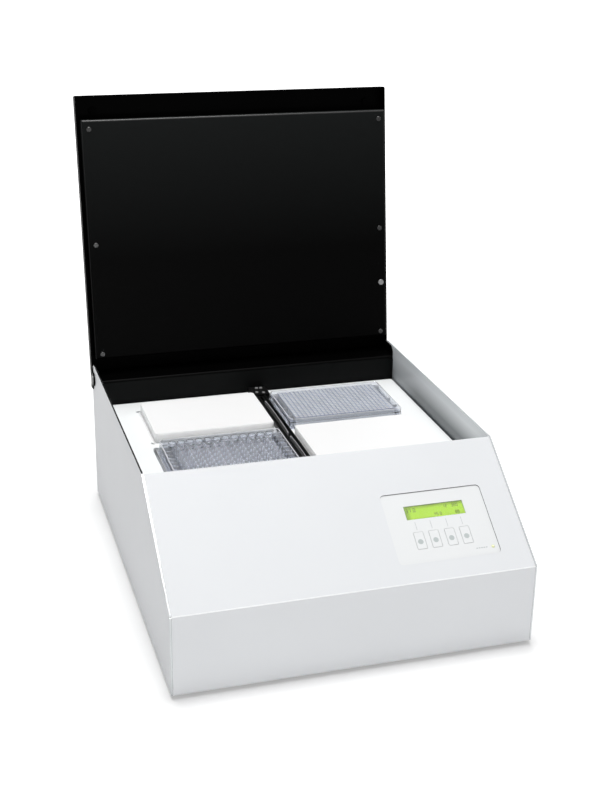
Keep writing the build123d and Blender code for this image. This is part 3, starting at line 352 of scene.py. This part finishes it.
for part in frame["record"]["subparts"]:
    finish = OWN_FINISH.get(part["node"]) or SLOT_FINISH[part["material_slot"]]
    materials = NODES[part["node"]].data.materials
    materials.clear()
    materials.append(MATERIAL[finish])

# The side sheets' cut edges are bare metal, and their inner faces line the chamber, with painted shade on them.
for name, inward in (("left_side_panel", 1), ("right_side_panel", -1)):
    second_finish(name, "cut_edge", lambda normal, middle: abs(normal.x) < 0.5)
    second_finish(name, "inner_wall_shaded", lambda normal, middle: normal.x * inward > 0.9)
# Upright and lower faces of the blanking blocks, painted lighter than the tops.
for name in ("rear_left_blank", "front_right_blank"):
    second_finish(name, "white_side_lit", lambda normal, middle: normal.z < 0.5)
# Painted highlights on bends of the sheets, and a painted reflection of the deck on the front wall of the rear
# cover, which closes the chamber.
COVER_WALL_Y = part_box("rear_cover")[0].y + 3 * MM
second_finish("lid_panel", "black_edge_highlight", lambda normal, middle: abs(normal.x) < 0.4 and 0.2 < normal.z < 0.93)
second_finish("rear_cover", "fold", lambda normal, middle: normal.y < -0.3 and 0.3 < normal.z < 0.9)
second_finish("rear_cover", "cover_wall_reflection", lambda normal, middle: normal.y < -0.99 and middle.y < COVER_WALL_Y)
second_finish("front_panel", "bend", lambda normal, middle: -0.97 < normal.y < -0.62 and normal.z > 0.2)

# ---- clear plates ----------------------------------------------------------------------------
# Both plates have the standard footprint. Heights are over the plate's foot.
plate_low, plate_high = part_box("microplate_96")
PLATE_L, PLATE_W, PLATE_H = (plate_high - plate_low) / MM
BODY_L, BODY_W = 123.0, 81.4
WALL_T = 1.3
FOOT_GAP = 0.02
SKIRT_H, SKIRT_ROOF, SKIRT_EDGE = 2.5, 1.4, 0.1
RIM_EDGE = 0.15
CORNER_R = 4.5
CORNER_STEPS = 6
# The bands between the shell's rings that have the rim's finish, milkier white as a painted highlight, counted
# from 0 at the foot.
RIM_BANDS = (4, 5)
# The gutter's upper face, its thickness and the corner radius of its opening for the wells.
GUTTER_Z, GUTTER_T, GUTTER_R = 10.6, 1.0, 0.4
PITCH_96, PITCH_384 = 9.0, 4.5
# How far the wells lie under the rim, where their skirt ends, and a well's width at its bottom
# as a share of its mouth.
WELLS_DOWN, WELLS_FOOT, WELL_DRAFT = 0.5, 1.5, 0.94
RIB_T = 0.6
RIB_FOOT = GUTTER_Z + 0.1
RIB_END = 60.0
# Faces of a box whose corners are listed by x, then y, then z.
BOX_FACES = ((0, 1, 3, 2), (4, 5, 7, 6), (0, 1, 5, 4), (2, 3, 7, 6), (0, 2, 6, 4), (1, 3, 7, 5))
TINY = 1e-6


def new_piece(name, bm, materials, body):
    """Turns a bmesh in metres into an object that rides on a body; materials are keys of the finish table."""
    mesh = bpy.data.meshes.new(name)
    bm.to_mesh(mesh)
    bm.free()
    obj = bpy.data.objects.new(name, mesh)
    bpy.context.scene.collection.objects.link(obj)
    for key in materials:
        mesh.materials.append(MATERIAL[key])
    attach(obj, body)
    return obj


def node_place(node):
    """Middle of a node's footprint, at its lowest point."""
    low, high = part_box(node)
    return Vector(((low.x + high.x) / 2, (low.y + high.y) / 2, low.z))


def super_point(angle, power):
    """Point of a rounded square with unit half width; power 2 gives a circle."""
    c, s = math.cos(angle), math.sin(angle)
    return (math.copysign(abs(c) ** (2 / power), c), math.copysign(abs(s) ** (2 / power), s))


def looks_out(value, index, count):
    """Whether a point on this side of well number index faces out of a row of count wells."""
    return (value < -TINY and index == 0) or (value > TINY and index == count - 1)


def well_field(node, columns, rows, pitch, well, rim, power, sides, depth, step, scalloped, materials):
    """Block of wells with a raised rim round each, a web between them and a skirt round them all.

    well and rim are half widths, and step is the rim's height over the web. Where the block is
    scalloped, its skirt follows the outer wells. materials has one each for wells, rims, web and skirt.
    """
    base = node_place(node)
    top = PLATE_H - WELLS_DOWN
    bm = bmesh.new()
    points = [super_point(2 * math.pi * k / sides, power) for k in range(sides)]

    def ring(cx, cy, size, z):
        return [bm.verts.new(base + Vector((cx + size * u, cy + size * v, z)) * MM) for u, v in points]

    for i in range(columns):
        for j in range(rows):
            cx = (i - (columns - 1) / 2) * pitch
            cy = (j - (rows - 1) / 2) * pitch
            bottom = ring(cx, cy, well * WELL_DRAFT, top - depth)
            mouth = ring(cx, cy, well, top)
            crest = ring(cx, cy, rim, top)
            foot = ring(cx, cy, rim, top - step)
            edge = []
            for k, (u, v) in enumerate(points):
                if scalloped and (looks_out(u, i, columns) or looks_out(v, j, rows)):
                    edge.append(foot[k])
                else:
                    far = pitch / 2 / max(abs(u), abs(v))
                    edge.append(bm.verts.new(base + Vector((cx + far * u, cy + far * v, top - step)) * MM))
            bm.faces.new(bottom)
            for k in range(sides):
                n = (k + 1) % sides
                bm.faces.new((mouth[k], mouth[n], bottom[n], bottom[k]))
                bm.faces.new((mouth[n], mouth[k], crest[k], crest[n])).material_index = 1
                bm.faces.new((crest[n], crest[k], foot[k], foot[n])).material_index = 1
                around = [foot[n], foot[k]] + [c for c in (edge[k], edge[n]) if c not in (foot[k], foot[n])]
                if len(around) > 2:
                    bm.faces.new(around).material_index = 2
    bmesh.ops.remove_doubles(bm, verts=bm.verts, dist=20 * MICRON)
    outer_edges = [e for e in bm.edges if e.is_boundary]
    for item in bmesh.ops.extrude_edge_only(bm, edges=outer_edges)["geom"]:
        if isinstance(item, bmesh.types.BMVert):
            item.co.z = base.z + WELLS_FOOT * MM
        elif isinstance(item, bmesh.types.BMFace):
            item.material_index = 3
    bmesh.ops.recalc_face_normals(bm, faces=bm.faces)
    obj = new_piece(node + "_wells", bm, materials, node)
    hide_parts(node)


def plate_outline(half_x, half_y, radius, cut):
    """Rounded rectangle, anticlockwise from the front right corner; corners named in cut are chamfers."""
    found = []
    for index, corner in enumerate(((1, -1), (1, 1), (-1, 1), (-1, -1))):
        middle = Vector((corner[0] * (half_x - radius), corner[1] * (half_y - radius)))
        turn = [math.pi / 2 * (index - 1 + k / CORNER_STEPS) for k in range(CORNER_STEPS + 1)]
        arc = [middle + radius * Vector((math.cos(a), math.sin(a))) for a in turn]
        if corner in cut:
            arc = [arc[0].lerp(arc[-1], k / CORNER_STEPS) for k in range(CORNER_STEPS + 1)]
        found += [tuple(point) for point in arc]
    return found


def plate_shell(node, inner_x, inner_y, cut):
    """Skirt, wall, rim and gutter floor of a plate as one thin clear moulding.

    inner_x and inner_y are the half sizes of the opening for the wells. The rings go up the outside,
    over the rim, down to the gutter and its opening, and down the inside of the wall and skirt.
    """
    base = node_place(node)
    skirt_x, skirt_y = PLATE_L / 2, PLATE_W / 2
    body_x, body_y = BODY_L / 2, BODY_W / 2
    side_x, side_y, side_r = body_x - WALL_T, body_y - WALL_T, CORNER_R - WALL_T
    rings = [
        (skirt_x, skirt_y, CORNER_R, FOOT_GAP),
        (skirt_x, skirt_y, CORNER_R, SKIRT_H),
        (skirt_x - SKIRT_EDGE, skirt_y - SKIRT_EDGE, CORNER_R, SKIRT_H + SKIRT_EDGE),
        (body_x, body_y, CORNER_R, SKIRT_H + SKIRT_EDGE),
        (body_x, body_y, CORNER_R, PLATE_H - RIM_EDGE),
        (body_x - RIM_EDGE, body_y - RIM_EDGE, CORNER_R, PLATE_H),
        (side_x + RIM_EDGE, side_y + RIM_EDGE, side_r, PLATE_H),
        (side_x, side_y, side_r, PLATE_H - RIM_EDGE),
        (side_x, side_y, side_r, GUTTER_Z),
        (inner_x, inner_y, GUTTER_R, GUTTER_Z),
        (inner_x, inner_y, GUTTER_R, GUTTER_Z - GUTTER_T),
        (side_x, side_y, side_r, GUTTER_Z - GUTTER_T),
        (side_x, side_y, side_r, SKIRT_ROOF),
        (skirt_x - WALL_T, skirt_y - WALL_T, side_r, SKIRT_ROOF),
        (skirt_x - WALL_T, skirt_y - WALL_T, side_r, FOOT_GAP),
    ]
    bm = bmesh.new()
    loops = []
    for half_x, half_y, radius, z in rings:
        outline = plate_outline(half_x, half_y, radius, cut)
        loops.append([bm.verts.new(base + Vector((x, y, z)) * MM) for x, y in outline])
    count = len(loops[0])
    for index, (a, b) in enumerate(zip(loops, loops[1:] + loops[:1])):
        for k in range(count):
            n = (k + 1) % count
            bm.faces.new((a[k], a[n], b[n], b[k])).material_index = int(index in RIM_BANDS)
    bmesh.ops.remove_doubles(bm, verts=bm.verts, dist=10 * MICRON)
    bmesh.ops.recalc_face_normals(bm, faces=bm.faces)
    new_piece(node + "_shell", bm, ("clear", "moulded_rim_highlight"), node)


def ribs(node, rows, start, top):
    """Thin upright ribs across the gutters at the two short ends of a plate, one pair for each row."""
    base = node_place(node)
    bm = bmesh.new()
    for y in rows:
        for end in (-1, 1):
            corners = []
            for x in (start, RIB_END):
                for side in (-RIB_T / 2, RIB_T / 2):
                    for z in (RIB_FOOT, top):
                        corners.append(bm.verts.new(base + Vector((end * x, y + side, z)) * MM))
            for face in BOX_FACES:
                bm.faces.new([corners[k] for k in face])
    bmesh.ops.recalc_face_normals(bm, faces=bm.faces)
    new_piece(node + "_ribs", bm, ("moulded_rim_highlight",), node)


well_field("microplate_96", columns=12, rows=8, pitch=PITCH_96, well=3.4, rim=4.1, power=2.0, sides=24,
           depth=11.0, step=1.0, scalloped=True, materials=("well", "well_rim", "well_web", "well"))
plate_shell("microplate_96", 51.5, 33.5, cut=((-1, 1), (-1, -1)))
well_field("microplate_384", columns=24, rows=16, pitch=PITCH_384, well=1.78, rim=2.04, power=6.0, sides=16,
           depth=2.4, step=1.2, scalloped=False,
           materials=("fine_well_painted_light", "fine_rim", "fine_web_painted_shade", "fine_skirt"))
plate_shell("microplate_384", 53.2, 35.2, cut=())
ribs("microplate_96", [PITCH_96 * (k - 3.5) for k in range(8)], start=54.0, top=13.0)
ribs("microplate_384", (-27.6, -8.2, 29.0), start=54.6, top=13.9)

# ---- control face ----------------------------------------------------------------------------
# x runs along the front, s up the slant from its lower fold and n out of the sheet.
CASE_H = (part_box("right_side_panel")[1].z - CASE_BOTTOM) / MM
FRONT_H, SLANT_D = 76.4, 115.4
SLANT = math.atan2(CASE_H - FRONT_H, SLANT_D)
FILM_N = -0.7
DISPLAY_N = -2.1
KEY_N = FILM_N + 0.15
PRINT_T = 0.04
RECESS_X, RECESS_S, RECESS_N = (41.0, 139.5), (15.0, 92.0), (-2.0, 0.0)
KEYS = ("key_1", "key_2", "key_3", "key_4")
KEY_X = [sum(corner.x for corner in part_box(key)) / 2 / MM for key in KEYS]
KEY_LINE_S, KEY_LINE_W = (51.6, 59.6), 0.38
DOT_S, DOT_R, DOT_SIDES = 39.6, 2.5, 32
DASHES, DASH_X, DASH_S = 5, 116.6, 26.0
DASH_L, DASH_W, DASH_PITCH = 1.6, 0.85, 2.3
# Text, x, s, height and line width of each number on the display.
FIGURES = (("37.0", 62.4, 70.4, 3.6, 0.5), ("12", 98.6, 71.4, 2.8, 0.36), ("300", 107.0, 71.4, 2.8, 0.36),
           ("45.0", 88.5, 64.4, 2.8, 0.36), ("08", 109.0, 64.4, 2.8, 0.36))
# Strokes of a figure, a to f clockwise from the top and g in the middle, in units of its width and height.
STROKES = {"a": ((0, 1), (1, 1)), "b": ((1, 1), (1, 0.5)), "c": ((1, 0.5), (1, 0)), "d": ((0, 0), (1, 0)),
           "e": ((0, 0.5), (0, 0)), "f": ((0, 1), (0, 0.5)), "g": ((0, 0.5), (1, 0.5)),
           ".": ((0.3, 0), (0.6, 0))}
SEGMENTS = {"0": "abcdef", "1": "bc", "2": "abged", "3": "abgcd", "4": "fgbc", "5": "afgcd",
            "7": "abc", "8": "abcdefg", ".": "."}
FIGURE_W, FIGURE_STEP, POINT_STEP = 0.45, 0.8, 0.4


def on_face(x, s, n):
    """Point of the slanted face in metres."""
    across, up = math.cos(SLANT), math.sin(SLANT)
    return at(x, s * across - n * up, FRONT_H + s * up + n * across)


def shaded_step(normal, middle):
    """Painted shade on the upper and right walls of the shallow recess round the overlay, with their corner."""
    upright = abs(normal.dot(on_face(0, 0, 1) - on_face(0, 0, 0))) < 0.1 * MM
    turned = normal.x < -0.1 or normal.y < -0.1
    low, high = (on_face(RECESS_X[k], RECESS_S[k], RECESS_N[k]) for k in (0, 1))
    return upright and turned and low.x < middle.x < high.x and low.z < middle.z < high.z


def add_prism(bm, outline, n):
    """Thin printed patch: the outline in (x, s), lying on the surface at height n."""
    low = [bm.verts.new(on_face(x, s, n - PRINT_T)) for x, s in outline]
    high = [bm.verts.new(on_face(x, s, n + PRINT_T)) for x, s in outline]
    count = len(outline)
    bm.faces.new(high)
    bm.faces.new(low[::-1])
    for k in range(count):
        m = (k + 1) % count
        bm.faces.new((low[k], low[m], high[m], high[k]))


def stroke(bm, a, b, width, n):
    """Straight line of a given width from a to b on the face."""
    along = (Vector(b) - Vector(a)).normalized()
    side = Vector((-along.y, along.x)) * (width / 2)
    corners = [Vector(a) - side, Vector(b) - side, Vector(b) + side, Vector(a) + side]
    add_prism(bm, [(c.x, c.y) for c in corners], n)


def number(bm, text, x, s, height, width):
    """Plain seven segment figures on the display, left to right from x."""
    for figure in text:
        for name in SEGMENTS[figure]:
            ends = [(x + FIGURE_W * height * u, s + height * v) for u, v in STROKES[name]]
            stroke(bm, *ends, width, DISPLAY_N)
        x += height * (POINT_STEP if figure == "." else FIGURE_STEP)


def display_figures():
    """Generic readings, which name nothing."""
    bm = bmesh.new()
    for text, x, s, height, width in FIGURES:
        number(bm, text, x, s, height, width)
    new_piece("display_figures", bm, ("figures",), "base")


def face_print():
    """A line between each key and the display, and short dashes beside the status lamp."""
    bm = bmesh.new()
    for x in KEY_X:
        stroke(bm, (x, KEY_LINE_S[0]), (x, KEY_LINE_S[1]), KEY_LINE_W, FILM_N)
    for k in range(DASHES):
        x = DASH_X + DASH_PITCH * k
        stroke(bm, (x, DASH_S), (x + DASH_L, DASH_S), DASH_W, FILM_N)
    new_piece("face_print", bm, ("print",), "base")


def key_dots():
    """A round mark on each key, which moves with it."""
    turns = [2 * math.pi * k / DOT_SIDES for k in range(DOT_SIDES)]
    for index, x in enumerate(KEY_X):
        bm = bmesh.new()
        add_prism(bm, [(x + DOT_R * math.cos(a), DOT_S + DOT_R * math.sin(a)) for a in turns], KEY_N)
        new_piece(f"key_dot_{index + 1}", bm, ("dot",), KEYS[index])


# Painted shade on the recess walls round the overlay.
second_finish("front_panel", "step", shaded_step)
display_figures()
face_print()
key_dots()

# ---- studio ----------------------------------------------------------------------------------
# Strength of the floor's own light near the object and far from it, and the distances in metres of both.
FLOOR_NEAR, FLOOR_FAR = 0.22, 1.0
FLOOR_FADE = (0.4, 1.4)
FLOOR_HALF = 8
FLOOR_TONE = 0.9
WORLD_FILL = 0.285


def seen_ray(tree):
    """One for rays from the camera, from gloss and through clear parts, zero for the rest."""
    path = tree.nodes.new("ShaderNodeLightPath")
    found = path.outputs["Is Camera Ray"]
    for name in ("Is Glossy Ray", "Is Transmission Ray"):
        node = tree.nodes.new("ShaderNodeMath")
        node.operation = "MAXIMUM"
        tree.links.new(found, node.inputs[0])
        tree.links.new(path.outputs[name], node.inputs[1])
        found = node.outputs[0]
    return found


def floor_material():
    """Pale floor that keeps the object's shadow and brightens to white away from it."""
    mat, tree, bsdf, coords = new_material("studio_floor")
    bsdf.inputs["Base Color"].default_value = (*grey(FLOOR_TONE), 1)
    bsdf.inputs["Roughness"].default_value = 0.9
    bsdf.inputs["Specular IOR Level"].default_value = 0.0
    away = tree.nodes.new("ShaderNodeVectorMath")
    away.operation = "LENGTH"
    tree.links.new(coords, away.inputs[0])
    scale = tree.nodes.new("ShaderNodeMath")
    scale.operation = "MULTIPLY"
    tree.links.new(seen_ray(tree), scale.inputs[0])
    tree.links.new(remap(tree, away.outputs["Value"], FLOOR_NEAR, FLOOR_FAR, *FLOOR_FADE), scale.inputs[1])
    lift = tree.nodes.new("ShaderNodeEmission")
    tree.links.new(scale.outputs[0], lift.inputs["Strength"])
    both = tree.nodes.new("ShaderNodeAddShader")
    tree.links.new(bsdf.outputs[0], both.inputs[0])
    tree.links.new(lift.outputs[0], both.inputs[1])
    tree.links.new(both.outputs[0], tree.nodes["Material Output"].inputs["Surface"])
    return mat


def make_floor():
    """Flat square floor that isn't part of the object."""
    corners = [(FLOOR_HALF * x, FLOOR_HALF * y, 0) for x, y in ((-1, -1), (1, -1), (1, 1), (-1, 1))]
    mesh = bpy.data.meshes.new("floor")
    mesh.from_pydata(corners, [], [(0, 1, 2, 3)])
    mesh.materials.append(floor_material())
    floor = bpy.data.objects.new("floor", mesh)
    bpy.context.scene.collection.objects.link(floor)


def make_world():
    """White where it is seen, and a soft fill for what it lights."""
    world = bpy.data.worlds.new("studio")
    bpy.context.scene.world = world
    world.use_nodes = True
    tree = world.node_tree
    background = tree.nodes["Background"]
    background.inputs["Color"].default_value = (*grey(1), 1)
    strength = remap(tree, seen_ray(tree), WORLD_FILL, 1.0, 0.0, 1.0)
    tree.links.new(strength, background.inputs["Strength"])


def area_light(name, place, target, size, power):
    """Soft elliptical lamp facing a point. Its place and its width and height are in metres, power in watts."""
    light = bpy.data.lights.new(name, "AREA")
    light.shape = "ELLIPSE"
    light.size, light.size_y = size
    light.energy = power
    obj = bpy.data.objects.new(name, light)
    obj.location = place
    obj.rotation_euler = (Vector(target) - Vector(place)).to_track_quat("-Z", "Y").to_euler()
    bpy.context.scene.collection.objects.link(obj)


make_floor()
make_world()
area_light("key_light", (0.0, 0.33, 3.0), (0, 0, 0.1), (1.5, 1.5), 82)
area_light("front_light", (-0.4, -2.5, 0.16), (0, 0, 0.1), (2.2, 0.26), 18)

# ---- camera ----------------------------------------------------------------------------------
# Fitted to the case's edges and the plates in the photograph, which is 612 by 792 pixels.
FOCAL_PX = 1336.506
IMAGE_H = 792
SENSOR = 36.0
CAMERA_AT = (-347.028, -947.275, 659.850)
# Degrees: to the right of straight back, above level and turned round the line of sight.
CAMERA_TURN, CAMERA_TILT, CAMERA_ROLL = 17.2544, -21.8063, 1.0611


def make_camera():
    """Camera at the photograph's viewing angle."""
    data = bpy.data.cameras.new("camera")
    data.sensor_width = SENSOR
    data.lens = SENSOR * FOCAL_PX / IMAGE_H
    camera = bpy.data.objects.new("camera", data)
    bpy.context.scene.collection.objects.link(camera)
    aim = Matrix.Translation(at(*CAMERA_AT))
    for degrees, axis in ((-CAMERA_TURN, "Z"), (90 + CAMERA_TILT, "X"), (CAMERA_ROLL, "Z")):
        aim = aim @ Matrix.Rotation(math.radians(degrees), 4, axis)
    camera.matrix_world = aim
    bpy.context.scene.camera = camera


make_camera()
bpy.context.scene.view_settings.view_transform = "Standard"
